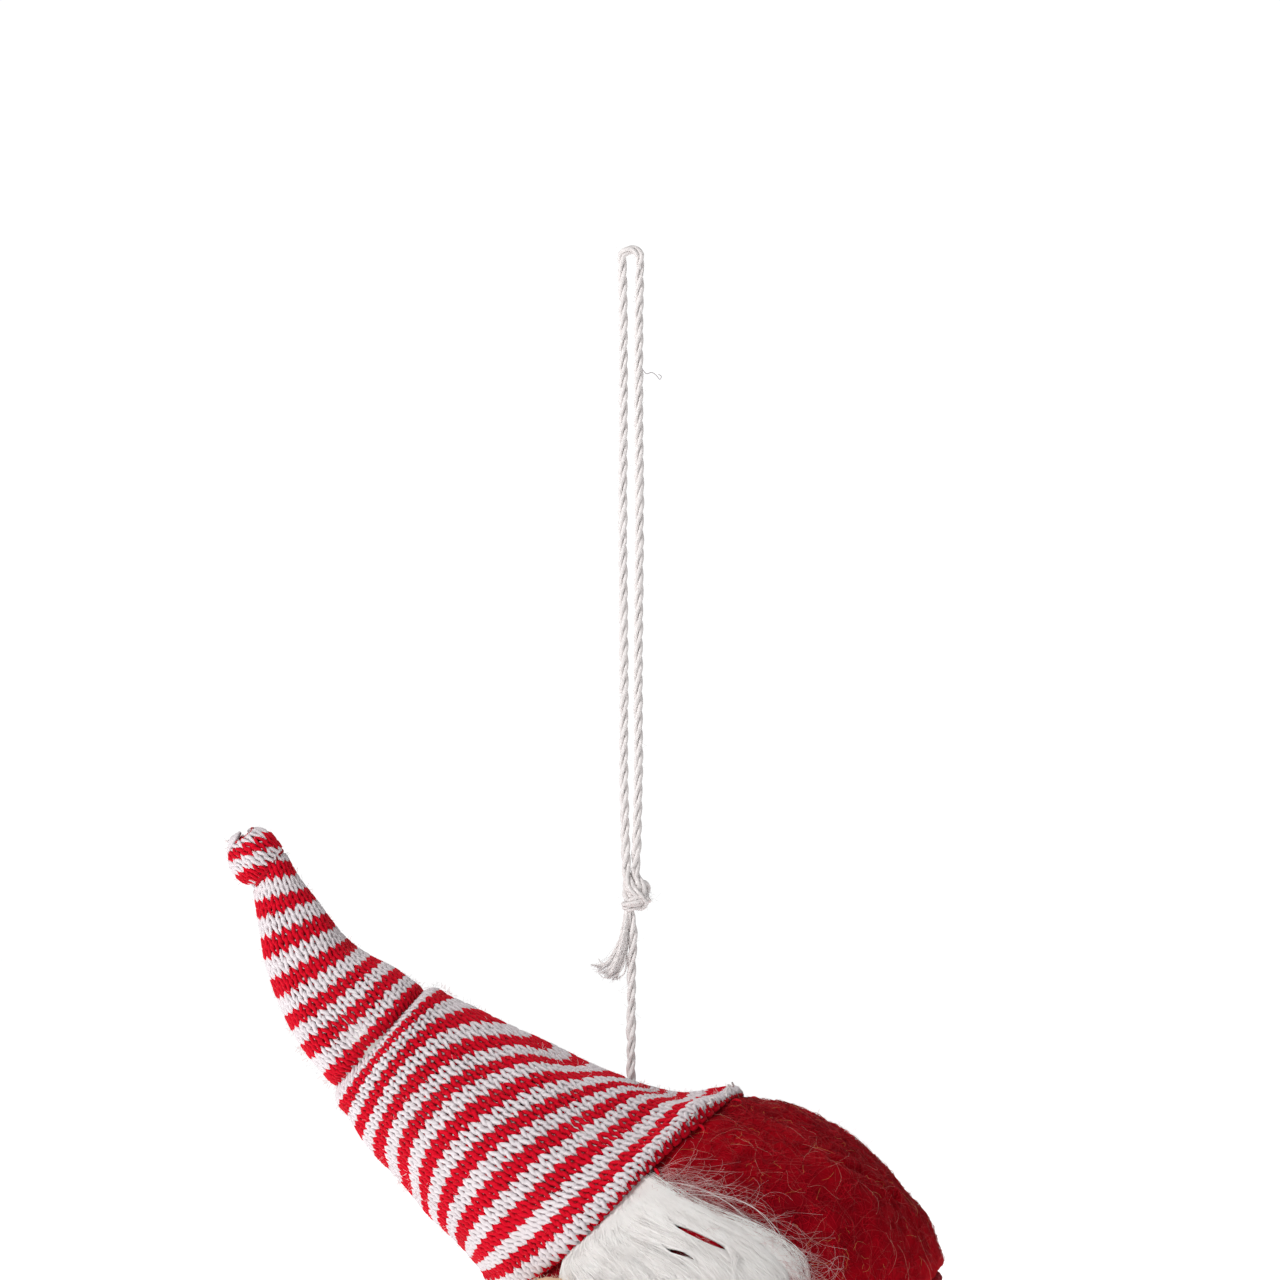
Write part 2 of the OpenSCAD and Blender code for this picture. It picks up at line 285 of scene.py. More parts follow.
def gridFaces(rows, columns, closed=True):  # quads over a grid of points, row by row
    order = np.arange(rows * columns).reshape(rows, columns)
    nextOne = np.roll(order, -1, 1)
    if not closed:
        order, nextOne = order[:, :-1], nextOne[:, :-1]
    return np.stack([order[:-1], nextOne[:-1], nextOne[1:], order[1:]], -1).reshape(-1, 4)


def surface(points, faces):  # a part without strand marks
    points = points.reshape(-1, 3)
    return points, faces, np.zeros(points.shape)


def joined(parts):  # several (points, faces, marks) as one
    points, faces, marks, count = [], [], [], 0
    for p, f, m in parts:
        points.append(p)
        faces.append(f + count)
        marks.append(m)
        count += len(p)
    return np.concatenate(points), np.concatenate(faces), np.concatenate(marks)


def piece(name, part, paint, body=None, stands=()):
    points, faces, marks = part
    points = points * mm
    mesh = bpy.data.meshes.new(name)
    mesh.from_pydata(points.tolist(), [], faces.tolist())
    mesh.polygons.foreach_set("use_smooth", [True] * len(mesh.polygons))
    for label, values in (("restPlace", points), ("strand", marks)):
        layer = mesh.attributes.new(label, "FLOAT_VECTOR", "POINT")
        layer.data.foreach_set("vector", np.asarray(values, np.float32).ravel())
    mesh.materials.append(paint)
    made = bpy.data.objects.new(name, mesh)
    bpy.context.scene.collection.objects.link(made)
    if body:
        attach(made, body)
    if stands:
        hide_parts(*stands)
    return made


def curveAt(before, here, there, after, t):  # a point of the smooth curve that runs from here to there
    return 0.5 * (2 * here + (there - before) * t + (2 * before - 5 * here + 4 * there - after) * t ** 2
                  + (3 * here - before - 3 * there + after) * t ** 3)


def smoothLine(points, gap, steps=24):  # points every gap or so on a smooth curve through a list
    points = np.array(points, float)
    ends = np.concatenate([points[:1] * 2 - points[1:2], points, points[-1:] * 2 - points[-2:-1]])
    line = []
    for before, here, there, after in zip(ends, ends[1:], ends[2:], ends[3:]):
        line.append(curveAt(before, here, there, after, np.linspace(0, 1, steps, endpoint=False)[:, None]))
    line = np.concatenate(line + [points[-1:]])
    run = np.concatenate([[0], np.cumsum(np.linalg.norm(np.diff(line, axis=0), axis=1))])
    marks = np.linspace(0, run[-1], max(3, int(run[-1] / gap) + 1))
    return np.stack([np.interp(marks, run, line[:, i]) for i in range(3)], 1)


def carried(line, first):  # side vectors that stay untwisted along a line
    along = unit(np.gradient(line, axis=0))
    side = np.zeros_like(line)
    side[0] = unit(first - along[0] * (first @ along[0]))
    for i in range(1, len(line)):
        side[i] = unit(side[i - 1] - along[i] * (side[i - 1] @ along[i]))
    return side, np.cross(along, side)


def twisted(line, plies, offset, pitch, first=(0.0, 1.0, 0.02)):  # lines that wind round a line
    side, over = carried(line, np.array(first, float))
    run = np.concatenate([[0], np.cumsum(np.linalg.norm(np.diff(line, axis=0), axis=1))])
    made = []
    for k in range(plies):
        angle = fullTurn * (run / pitch + k / plies)
        made.append(line + offset * (np.cos(angle)[:, None] * side + np.sin(angle)[:, None] * over))
    return made


cord = {"diameter": 1.4, "length": 234.0, "plies": 3, "plyOffset": 0.41, "plyPitch": 8.5, "coreRadius": 0.34,
        "yarns": 6, "yarnOffset": 0.2, "yarnPitch": -5.2, "yarnRadius": 0.145, "gap": 0.28, "bendRadius": 1.4}
leadIn = [(0, -130), (0, -127.5), (0.04, -119), (0.1, -112), (0.3, -107.5), (0.1, -104.6), (-0.4, -102)]
strandSide = [(1.2, -12), (1.2, -26), (1.3, -40), (1.2, -54), (1.1, -68), (1.15, -80), (0.95, -90),
              (0.72, -96.5)]
loopBend = [(-cord["bendRadius"] * math.cos(a), -0.7 + cord["bendRadius"] * math.sin(a))
            for a in np.radians(range(0, 181, 30))]
cordRoute = (leadIn + [(-x, z) for x, z in strandSide[::-1]] + [(-1.3, -5)] + loopBend + [(1.3, -5)]
             + strandSide + [(0.9, -100), (1.0, -101)])


def cottonCord(line, first=(0.0, 1.0, 0.02), thick=1.0):  # plies of several yarns, each ply round a core
    plies = twisted(line, cord["plies"], cord["plyOffset"] * thick, cord["plyPitch"], first)
    side, _ = carried(line, np.array(first, float))
    uneven = ripples(11, 4.0)
    parts = []
    for ply in plies:
        radius = cord["coreRadius"] * thick * (1 + 0.08 * uneven(ply))
        parts.append(tubes(ply[None], radius[None], 7, side[None]))
    for ply in plies:
        for yarn in twisted(ply, cord["yarns"], cord["yarnOffset"] * thick, cord["yarnPitch"], first):
            radius = cord["yarnRadius"] * thick * (1 + 0.16 * uneven(yarn))
            parts.append(tubes(yarn[None], radius[None], 5, side[None]))
    return joined(parts)


centreline = smoothLine([(x, 0, z) for x, z in cordRoute], cord["gap"])
hangingCord = piece("hangingCord", cottonCord(centreline), cottonWhite,
                    "hanging_cord", ("hanging_loop", "cord_lead"))

knot = {"middle": (1.0, 0, -100.6), "spread": 0.6, "lift": 0.8, "turn": 20}
# turns round the knot: middle, half width, half depth, rise, first and last angle, thickness
knotTurns = [((0.5, 0, -102.4), 1.0, 1.1, 0.4, -20, 380, 0.85),
             ((0.6, 0, -101.5), 1.6, 1.6, 0.8, -20, 200, 0.95),
             ((1.0, 0, -100.4), 1.55, 1.7, -1.2, -40, 225, 0.95)]
knotEnds = [[(-0.72, -0.2, -96.5), (-0.5, -0.9, -98.2), (0.2, -1.0, -99.6), (0.9, -0.6, -100.6)],
            [(0.72, -0.2, -96.5), (0.9, -0.7, -98.0), (1.7, -0.9, -99.2), (1.9, -0.5, -100.6)]]


def knotLine():  # the closed path of an overhand knot, drawn tight
    t = np.linspace(0, fullTurn, 160)
    turn = math.radians(knot["turn"])
    x = (np.sin(t) + 2 * np.sin(2 * t)) * knot["spread"]
    z = (np.cos(t) - 2 * np.cos(2 * t)) * knot["spread"]
    return np.array(knot["middle"]) + np.stack(
        [x * math.cos(turn) - z * math.sin(turn), np.sin(3 * t) * knot["lift"],
         (x * math.sin(turn) + z * math.cos(turn)) * 1.1], 1)


def wrapLine(middle, wide, deep, rise, start, end):  # part of a turn round the knot
    t = np.radians(np.linspace(start, end, 70))
    return np.array(middle) + np.stack([wide * np.cos(t), -deep * np.sin(t), rise * np.cos(t)], 1)


knotParts = [cottonCord(knotLine(), (0.3, 1.0, 0.2))]
for *shape, thick in knotTurns:
    knotParts.append(cottonCord(wrapLine(*shape), (0, 0.1, 1.0), thick))
for spots in knotEnds:
    knotParts.append(cottonCord(smoothLine(spots, cord["gap"])))
cordKnot = piece("cordKnot", joined(knotParts), cottonWhite, "hanging_cord", ("cord_knot",))

fray = {"yarns": 13, "yarnRadius": 0.208, "longRadius": 0.16, "fibres": 46, "fibreRadius": 0.03,
        "lean": np.array([0, 1.0, 0.1])}
longYarns = [[(-0.7, -0.4, -108.6), (-1.2, -0.6, -111.6), (-2.4, -0.5, -113.2), (-4.2, -0.4, -113.6),
              (-4.9, -0.3, -113.1)],
             [(-0.6, -0.2, -109.4), (-0.9, -0.4, -112.4), (-1.8, -0.3, -113.6), (-3.0, -0.2, -114.0)],
             [(-2.2, -0.5, -109.2), (-3.6, -0.6, -111.2), (-4.6, -0.5, -111.3), (-5.1, -0.4, -110.6)]]
frayDraw = np.random.default_rng(21)


def frayPath(place, loose):  # from the knot down and out; place is 0 at the brush's left, 1 at its right
    depth = 0.75 * math.sin(7.0 * place + 1.0)
    top = np.array([-0.75 + 0.45 * place, depth * 0.5, -102.6])
    neck = np.array([-1.35 + 0.75 * place, depth * 0.7 - 0.3, -106.0])
    turnIn = np.array([-2.3 + 1.35 * place, depth * 0.9 - 0.3, -109.0 - 0.5 * place])
    out = np.array([-4.3 + 2.4 * place, depth, -111.6 - 1.5 * place])
    tip = np.array([-6.1 + 3.9 * place, depth * 1.3, -112.3 - 1.8 * place + 1.6 * max(0, 0.25 - place)])
    freedom = np.array([[0.1], [0.35], [0.7], [1.0], [1.4]])
    return smoothLine(np.array([top, neck, turnIn, out, tip]) + loose * freedom, 0.3)


def evenLine(line, count):
    return np.stack([np.interp(np.linspace(0, 1, count), np.linspace(0, 1, len(line)), line[:, i])
                     for i in range(3)], 1)


tailParts = []
for k in range(fray["yarns"]):
    path = frayPath((k + 0.5) / fray["yarns"], frayDraw.normal(size=(5, 3)) * 0.16)
    for yarn in twisted(path, 3, 0.13, 3.4):
        taper = np.interp(np.linspace(0, 1, len(yarn)), [0, 0.85, 1], [1, 0.85, 0.2])
        tailParts.append(tubes(yarn[None], fray["yarnRadius"] * taper[None], 5, fray["lean"]))
for spots in longYarns:
    yarn = smoothLine(spots, 0.2)
    taper = np.interp(np.linspace(0, 1, len(yarn)), [0, 0.2, 0.8, 1], [0.3, 1, 0.8, 0.3])
    tailParts.append(tubes(yarn[None], fray["longRadius"] * taper[None], 5, fray["lean"]))
frayedTail = piece("frayedTail", joined(tailParts), cottonWhite, "hanging_cord",
                   ("cord_tail",))
wisps = np.stack([evenLine(frayPath(frayDraw.uniform(0, 1), frayDraw.normal(size=(5, 3)) * 0.32), 16)
                  for _ in range(fray["fibres"])])
tailFibres = piece("tailFibres", tubes(wisps, fray["fibreRadius"], 3, fray["lean"]), fibreWhite,
                   "hanging_cord")


def wisp(start, way, length, bend, draw, points=7):  # one thin fibre that curls away
    t = np.linspace(0, 1, points)[:, None]
    side = unit(np.cross(way, draw.normal(size=3)))
    return start + way * length * t + side * length * bend * t ** 2


cordFuzz = {"fibres": 420, "radius": 0.014, "long": (0.5, 1.8), "atKnot": 90, "knotMiddle": (0.9, 0, -100.8),
            "knotReach": 2.2, "longAtKnot": (0.6, 2.0)}
fuzzDraw = np.random.default_rng(31)
hairs = []
for k in fuzzDraw.integers(8, len(centreline) - 4, cordFuzz["fibres"]):
    way = unit(fuzzDraw.normal(size=3))
    hairs.append(wisp(centreline[k] + way * 0.5, unit(way + fuzzDraw.normal(size=3) * 0.6),
                      fuzzDraw.uniform(*cordFuzz["long"]), fuzzDraw.uniform(-0.6, 0.6), fuzzDraw))
for k in range(cordFuzz["atKnot"]):
    way = unit(fuzzDraw.normal(size=3))
    start = np.array(cordFuzz["knotMiddle"]) + way * cordFuzz["knotReach"]
    hairs.append(wisp(start, unit(way + fuzzDraw.normal(size=3) * 0.8),
                      fuzzDraw.uniform(*cordFuzz["longAtKnot"]), fuzzDraw.uniform(-0.9, 0.9), fuzzDraw))
cordHairs = piece("cordHairs", tubes(np.stack(hairs), cordFuzz["radius"], 3, np.array([0.1, 1.0, 0.3])),
                  fibreWhite, "hanging_cord")
strayCurl = smoothLine([(1.7, -0.6, -18.0), (2.4, -0.7, -18.8), (3.2, -0.5, -18.6), (3.9, -0.3, -19.0),
                        (4.5, -0.2, -19.7), (4.75, -0.3, -19.2), (4.3, -0.4, -18.9)], 0.15)
curlRadius = 0.06
cordCurl = piece("cordCurl", tubes(strayCurl[None], curlRadius, 6, np.array([0, 1.0, 0.1])), fibreGrey,
                 "hanging_cord")

say("cord")


hat = {"ballRadius": 34.5, "brimWidth": 2.35, "tipWidth": 1.8, "loopSway": 0.215, "loopRise": 0.95,
       "yarnShare": 0.18, "samples": 10, "sides": 6, "lastRow": 71, "seamAngle": 270,
       "seamTuck": 0.3}
# lean forward, height, half width, tilt (front edge up), depth ratio
hatSections = np.array([
    [0.7, 22, 25.4, 0, 1], [1.2, 26, 24.6, 0, 1], [2.7, 29.5, 23.6, 1, 1], [6.3, 35, 20.7, 3, 0.98],
    [10.3, 46, 17.7, 3, 0.95], [13.2, 56, 15, 0, 0.95], [15.7, 65.6, 12.3, -11.5, 0.97],
    [17.5, 74, 10.1, -4, 1], [18, 81, 8, 0, 1], [17.1, 88, 6.5, 0, 1], [15.6, 94, 5.1, -4, 1],
    [13.6, 100, 4.1, -11, 1], [13.9, 101.6, 4.4, -15, 1], [14.3, 103.4, 4.6, -19, 1],
    [14.9, 105.4, 3.9, -20, 1], [15.4, 106.8, 2.4, -20, 1], [15.7, 107.7, 0.5, -20, 1]])
creaseSection = 6
# height of each white stripe on the side towards the viewer
stripeHeights = [28.2, 32.5, 37.6, 43, 48.1, 53.5, 58.1, 62.4, 65.7, 67.8, 71.9, 76.5, 81, 86.5,
                 92.25, 97.25, 102.5, 106.9]
# how far each stripe sags at the hat's two edges, and how much higher it lies at the back
stripeSag = [0.4, 1.4, 4.2, 7, 9, 9.5, 8.5, 6.5, 3, 0.5, 0]
stripeSlope = [0, 1, 1.4, 0.8, 0.5, 0.8, 0.3, 0, 0, 0]
brimWave = 2.6                                            # how far the edge rises and dips round the brim
# how much the rows lean with the curling tip, front edge up, by height
tipLean = ([68, 74, 81, 88, 94, 100, 104], [0, 2, 4, 12, 22, 32, 36])
lumps = ripples(41, 16.0)
lumpHeight = 0.3
wobble = ripples(42, 5.0)


def sectionAt(u):  # the hat's section at u, where u counts the list's entries
    u = np.clip(u, 0, len(hatSections) - 1.001)
    i = np.floor(u).astype(int)
    t = (u - i)[..., None]
    last = len(hatSections) - 1
    before, here = hatSections[np.maximum(i - 1, 0)], hatSections[i]
    there, after = hatSections[np.minimum(i + 1, last)], hatSections[np.minimum(i + 2, last)]
    return curveAt(before, here, there, after, t)


sectionMarks = np.linspace(0, len(hatSections) - 1.001, 1600)
sectionHeights = np.maximum.accumulate(sectionAt(sectionMarks)[:, 1])


def hatSkin(u, angle):  # a point of the hat's outside, and the way outwards there
    def bare(uu, aa):
        s = sectionAt(uu)
        tilt = np.radians(s[..., 3])
        w = s[..., 2] * np.cos(aa)
        return np.stack([s[..., 0] + w * np.cos(tilt), s[..., 2] * s[..., 4] * np.sin(aa),
                         s[..., 1] + w * np.sin(tilt)], -1)
    spot = bare(u, angle)
    up = bare(u + 0.04, angle) - bare(u - 0.04, angle)
    around = bare(u, angle + 0.02) - bare(u, angle - 0.02)
    normal = unit(np.cross(around, up))
    return spot, normal


def rowHeight(row):  # white rows are 0 and 1 of every four, red ones 2 and 3
    rowGap = 0.95                                         # between the rows of the rolled edge
    middles = np.arange(len(stripeHeights)) * 4 + 0.5
    height = np.interp(row, middles, stripeHeights)
    return np.where(row < 0.5, stripeHeights[0] + (row - 0.5) * rowGap, height)


arch = {"turn": 0.3, "shift": 0.16}


def archOf(side):  # the rows' arch: round towards the viewer, half as high on the far side
    turn = arch["turn"]
    far = np.abs(side)
    outside = np.where(side > 0, far, (far + turn) / 2)
    return np.where(far < turn, (far ** 2 + turn ** 2) / (2 * turn), outside)


def rowPlace(row, angle):  # the section at which a row of stitches lies, at an angle round the hat
    edge = np.exp(-np.maximum(row + 1, 0) / 5)
    stripe = (row - 0.5) / 4
    height = rowHeight(row)
    level = np.interp(height, sectionHeights, sectionMarks)
    lean = np.tan(np.radians(np.interp(height, *tipLean))) * sectionAt(level)[..., 2] * np.cos(angle)
    rim = np.clip((row + 2) / 3, 0, 1)
    sag = np.interp(stripe, np.arange(len(stripeSag)), stripeSag) * rim
    slope = np.interp(stripe, np.arange(len(stripeSlope)), stripeSlope) * rim
    higher = (-brimWave * np.sin(2 * angle) * edge + lean
              + sag * (archOf(np.sin(angle) + arch["shift"]) - 1 - arch["shift"]) - slope * np.cos(angle))
    return np.interp(height + higher, sectionHeights, sectionMarks)


def clearOfBall(points, room):  # pushes points out of the body under the brim
    far = np.linalg.norm(points, axis=-1, keepdims=True)
    least = hat["ballRadius"] + room
    return points * np.maximum(1, least / np.maximum(far, 1e-6))


# depth, then place past the crease or along the rows, then width
hatFolds = {"roll": (0.8, 0.4, 1.6), "pinch": (-2.5, 0.34, 0.09), "swell": (0.6, 0.1, 0.16),
            "hollow": (-0.8, 0.55, 0.25), "neck": (-0.55, 5.05, 0.16)}
hemTuck = 1.5


def foldAt(label, mark):
    depth, place, wide = hatFolds[label]
    return depth * np.exp(-((mark - place) / wide) ** 2)


def knitOffset(row, u, angle):  # the rolled brim stands out, the fold and the neck are drawn in
    past = u - creaseSection
    pinched = 0.3 + 0.7 * np.sin(angle) ** 2
    return (foldAt("roll", row) - hemTuck * np.clip(-row - 0.2, 0, 1.5) + foldAt("swell", past)
            + pinched * (foldAt("pinch", past) + foldAt("hollow", past)) + foldAt("neck", past))


def knitRow(row):  # one course: a single yarn that loops through every wale of the hat
    u0 = rowPlace(np.array(float(row)), np.array(math.pi / 2))
    section = sectionAt(u0)
    reach = section[2] * (1 + section[4]) / 2
    share = np.clip((section[1] - 26) / 74, 0, 1)
    width = hat["brimWidth"] + (hat["tipWidth"] - hat["brimWidth"]) * share
    width = min(width, reach * 0.9)
    half = math.ceil(math.pi * reach / width * 1.3) + 1          # cut off at the seam below
    t = np.linspace(-half * fullTurn, half * fullTurn, 2 * half * hat["samples"] + 1)
    draw = np.random.default_rng(1000 + row)
    uneven = np.interp(t, np.linspace(t[0], t[-1], 4 * half), draw.normal(size=4 * half))
    jumpy = np.interp(t, np.linspace(t[0], t[-1], 3 * half), draw.normal(size=3 * half))
    along = width * (t / fullTurn + (hat["loopSway"] + 0.018 * uneven) * np.sin(2 * t))
    angle = math.pi / 2 + along / reach
    level = row + (hat["loopRise"] + 0.06 * jumpy) * np.cos(t) + 0.05 * uneven
    u = rowPlace(level, angle)
    spread = sectionAt(u)
    angle = math.pi / 2 + along / (spread[:, 2] * (1 + spread[:, 4]) / 2)
    yarn = hat["yarnShare"] * width
    depth = yarn * 0.62
    spot, normal = hatSkin(u, angle)
    turned = np.abs(angle - math.pi / 2)
    out = (-yarn - depth * (1 + np.cos(2 * t)) * 1.25 + knitOffset(level, u, angle) + lumpHeight * lumps(spot)
           - hat["seamTuck"] * np.clip((turned - math.pi) / 0.1 + 1, 0, 1))
    points = clearOfBall(spot + normal * out[:, None], yarn * 0.9)
    radius = yarn * (1 + 0.07 * uneven + 0.05 * wobble(points))
    kept = turned < math.pi + 0.02
    return tubes(points[kept][None], radius[kept][None], hat["sides"], normal[kept][None])


def isWhite(row):
    return row % 4 < 2


creaseAt = np.array([hatSections[creaseSection][0], 0, hatSections[creaseSection][1]])
tipWay = np.array([0.208, 0, 0.978])
bendReach = 5
bendStart = toRow(creaseAt - tipWay * bendReach) * mm
bendEnd = toRow(creaseAt + tipWay * bendReach) * mm


def hatPiece(name, part, paint, stands=()):  # placed in the row frame, with its transform baked into the mesh
    points, faces, marks = part
    made = piece(name, (toRow(points), faces, marks), paint, None, stands)
    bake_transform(made)
    return made


bands = [("Brim", -1, 11), ("Low", 12, 23), ("Middle", 24, 37), ("Tip", 38, hat["lastRow"])]
for label, first, last in bands:
    for tone, paint, slotName in (("white", knitWhite, "knit_white"), ("red", knitRed, "knit_red")):
        rows = [r for r in range(first, last + 1) if isWhite(r) == (tone == "white")]
        stands = ("hat_knit", "tip_knit", "hat_brim") if (label, tone) == ("Brim", "red") else ()
        hatPiece(f"{tone}Knit{label}", joined([knitRow(r) for r in rows]), paint, stands)
say("knit")

# a dark red sheet under the knit: painted shade that darkens the gaps between stitches
lining = {"levels": 220, "angles": 120, "sunk": 1.25, "room": 0.25, "fill": 0.8}
levelGrid, angleGrid = np.meshgrid(np.linspace(-0.8, hat["lastRow"], lining["levels"]),
                                   np.linspace(0, fullTurn, lining["angles"], endpoint=False), indexing="ij")
liningMarks = rowPlace(levelGrid, angleGrid)
liningSpots, liningNormals = hatSkin(liningMarks, angleGrid)
liningOut = knitOffset(levelGrid, liningMarks, angleGrid) * 0.8 - lining["sunk"]
liningOut += lumpHeight * lumps(liningSpots)
liningPoints = clearOfBall(liningSpots + liningNormals * liningOut[..., None], lining["room"])
hatShadeLining = hatPiece("hatShadeLining", surface(liningPoints, gridFaces(lining["levels"], lining["angles"])),
                     liningShadeRed)

threads = {"gather": 0.3, "gatherTurns": 3, "gatherSunk": -0.75, "close": 0.36, "closeTurns": 4,
           "closeMarks": (15.2, 15.98), "closeSunk": 0.5, "seam": 0.25, "seamTop": 68, "loose": 0.16}
t = np.linspace(0, threads["gatherTurns"] * fullTurn, 150)
gatherSpots, gatherNormals = hatSkin(11.0 + 0.05 * np.sin(t / 3) + t * 0.004, t)
gatherLine = gatherSpots + gatherNormals * threads["gatherSunk"]
hatPiece("gatherThread", tubes(gatherLine[None], threads["gather"], 8, np.array([0, 0, 1.0])), knitRed,
         ("tip_gather",))
closeTurn = np.linspace(0, threads["closeTurns"] * fullTurn, 200)
closeSpots, closeNormals = hatSkin(np.linspace(*threads["closeMarks"], 200), closeTurn)
closeLine = closeSpots - closeNormals * threads["closeSunk"]
hatPiece("tipClose", tubes(closeLine[None], threads["close"], 7, closeNormals[None]), knitWhite)
seamLevels = np.linspace(0, threads["seamTop"], 620)
seamAngles = math.radians(hat["seamAngle"]) + 0.06 * np.sin(seamLevels * fullTurn / 2.0)
seamMarks = rowPlace(seamLevels, seamAngles)
seamSpots, seamNormals = hatSkin(seamMarks, seamAngles)
seamLift = knitOffset(seamLevels, seamMarks, seamAngles) - 0.1 + 0.3 * np.cos(seamLevels * fullTurn)
seamLine = seamSpots + seamNormals * seamLift[:, None]
hatPiece("seamThread", tubes(seamLine[None], threads["seam"], 6, seamNormals[None]), knitRed)
say("lining and threads")


def curling(starts, ways, lengths, sides, bends):  # short fibres that curl away
    steps = np.linspace(0, 1, 6)[None, :, None]
    return (starts[:, None] + ways[:, None] * lengths[:, None, None] * steps
            + sides[:, None] * (lengths * bends)[:, None, None] * steps ** 2)


def hatFuzz(count, wanted, seed):  # fine fibres that stand off the yarn
    draw = np.random.default_rng(seed)
    levels = draw.uniform(-1, hat["lastRow"], count * 5)
    girth = sectionAt(rowPlace(levels, np.zeros(len(levels))))[:, 2] / 26
    onStripe = np.isin(np.round(levels).astype(int) % 4, wanted)
    levels = levels[onStripe & (girth > draw.uniform(0, 1, len(levels)))][:count]
    angles = draw.uniform(0, fullTurn, len(levels))
    marks = rowPlace(levels, angles)
    spots, normals = hatSkin(marks, angles)
    starts = spots + normals * (knitOffset(levels, marks, angles) - 0.3)[:, None]
    ways = unit(normals * 0.55 + draw.normal(size=normals.shape) * 0.5)
    lengths = draw.uniform(*knitFuzz["long"], len(levels))
    bends = draw.uniform(-0.7, 0.7, len(levels))
    sides = unit(np.cross(ways, draw.normal(size=ways.shape)))
    lines = curling(starts, ways, lengths, sides, bends)
    return tubes(lines, knitFuzz["radius"], 3, np.array([0.2, 0.9, 0.4]))


knitFuzz = {"long": (0.3, 1.0), "radius": 0.016, "onRed": 3200, "onWhite": 3000}
hatPiece("redFuzz", hatFuzz(knitFuzz["onRed"], (2, 3), 51), fibrePink)
hatPiece("whiteFuzz", hatFuzz(knitFuzz["onWhite"], (0, 1), 52), fibreWhite)

# angle round the brim, row and length of each loose yarn end
looseEnds = [(2.85, -1, 2.6), (2.62, -1.2, 2.2), (3.0, -0.5, 3.0), (2.4, -0.8, 1.6), (0.4, -1, 1.8)]
looseDraw = np.random.default_rng(61)
looseParts = []
for angle, level, reach in looseEnds:
    u = rowPlace(np.array(level), np.array(angle))
    spot, normal = hatSkin(u, np.array(angle))
    spot = clearOfBall(spot, 1.0)
    turns = [spot]
    for _ in range(5):
        turns.append(turns[-1] + unit(normal * 0.35 + looseDraw.normal(size=3)) * reach / 3)
    looseParts.append(tubes(smoothLine(turns, 0.2)[None], threads["loose"], 5, np.array([0.1, 1.0, 0.2])))
hatPiece("looseThreads", joined(looseParts), cottonWhite)
say("hat fuzz")


body = {"radius": 34.5, "baseDrop": 14.0, "faceTurn": 48, "rows": 190, "columns": 300, "underRows": 14,
        "fill": 1.0}


def onBall(lat, az, radius):  # latitude and angle from the nose in degrees, in the gnome's frame
    lat, az = np.radians(lat), np.radians(np.asarray(az) + body["faceTurn"])
    return np.asarray(radius)[..., None] * np.stack(
        [np.cos(lat) * np.cos(az), np.cos(lat) * np.sin(az), np.sin(lat) * np.ones_like(az)], -1)


wrinkle = {"deep": 1.1, "wide": 0.75, "bank": 0.35, "bankAt": 1.9}
wrinklePath = np.array([[31.6, -16.5, -141.3], [33.4, -15.9, -142.3], [36.0, -14.0, -143.2],
                        [38.5, -12.6, -144.8], [40.4, -10.8, -146.9], [41.6, -10.6, -147.0]])
wrinkleLine = unit(evenLine((wrinklePath - ballCentre) @ gnomeTurn.T, 40)) * body["radius"]
bumps = [ripples(71, 26.0), ripples(72, 9.0), ripples(73, 3.2), ripples(74, 1.3)]


def feltDent(points):  # hand-felted unevenness and the one sunk wrinkle
    lift = sum(high * bump(points) for high, bump in zip((0.35, 0.16, 0.07, 0.035), bumps))
    near = np.full(points.shape[:-1], 1e9)
    for spot in wrinkleLine:
        near = np.minimum(near, np.linalg.norm(points - spot, axis=-1))
    return (lift - 0.45 - wrinkle["deep"] * np.exp(-(near / wrinkle["wide"]) ** 2)
            + wrinkle["bank"] * np.exp(-(near - wrinkle["bankAt"]) ** 2))


lowest = -math.degrees(math.asin(body["baseDrop"] / body["radius"]))
lats = np.concatenate([np.linspace(89.5, lowest, body["rows"]), np.full(body["underRows"], lowest)])
pull = np.concatenate([np.ones(body["rows"]), np.linspace(0.98, 0.02, body["underRows"])])
azs = np.linspace(0, 360, body["columns"], endpoint=False)
latGrid, azGrid = np.meshgrid(lats, azs, indexing="ij")
skin = onBall(latGrid, azGrid, np.full(latGrid.shape, body["radius"]))
skin = skin + unit(skin) * feltDent(skin)[..., None]
skin[..., :2] *= pull[:, None, None]
skin[..., 2] = np.maximum(skin[..., 2], -body["baseDrop"])
bodyFelt = piece("bodyFelt", surface(toRow(skin), gridFaces(len(lats), len(azs))[:, ::-1]), feltRed,
                 "gnome", ("body_felt",))


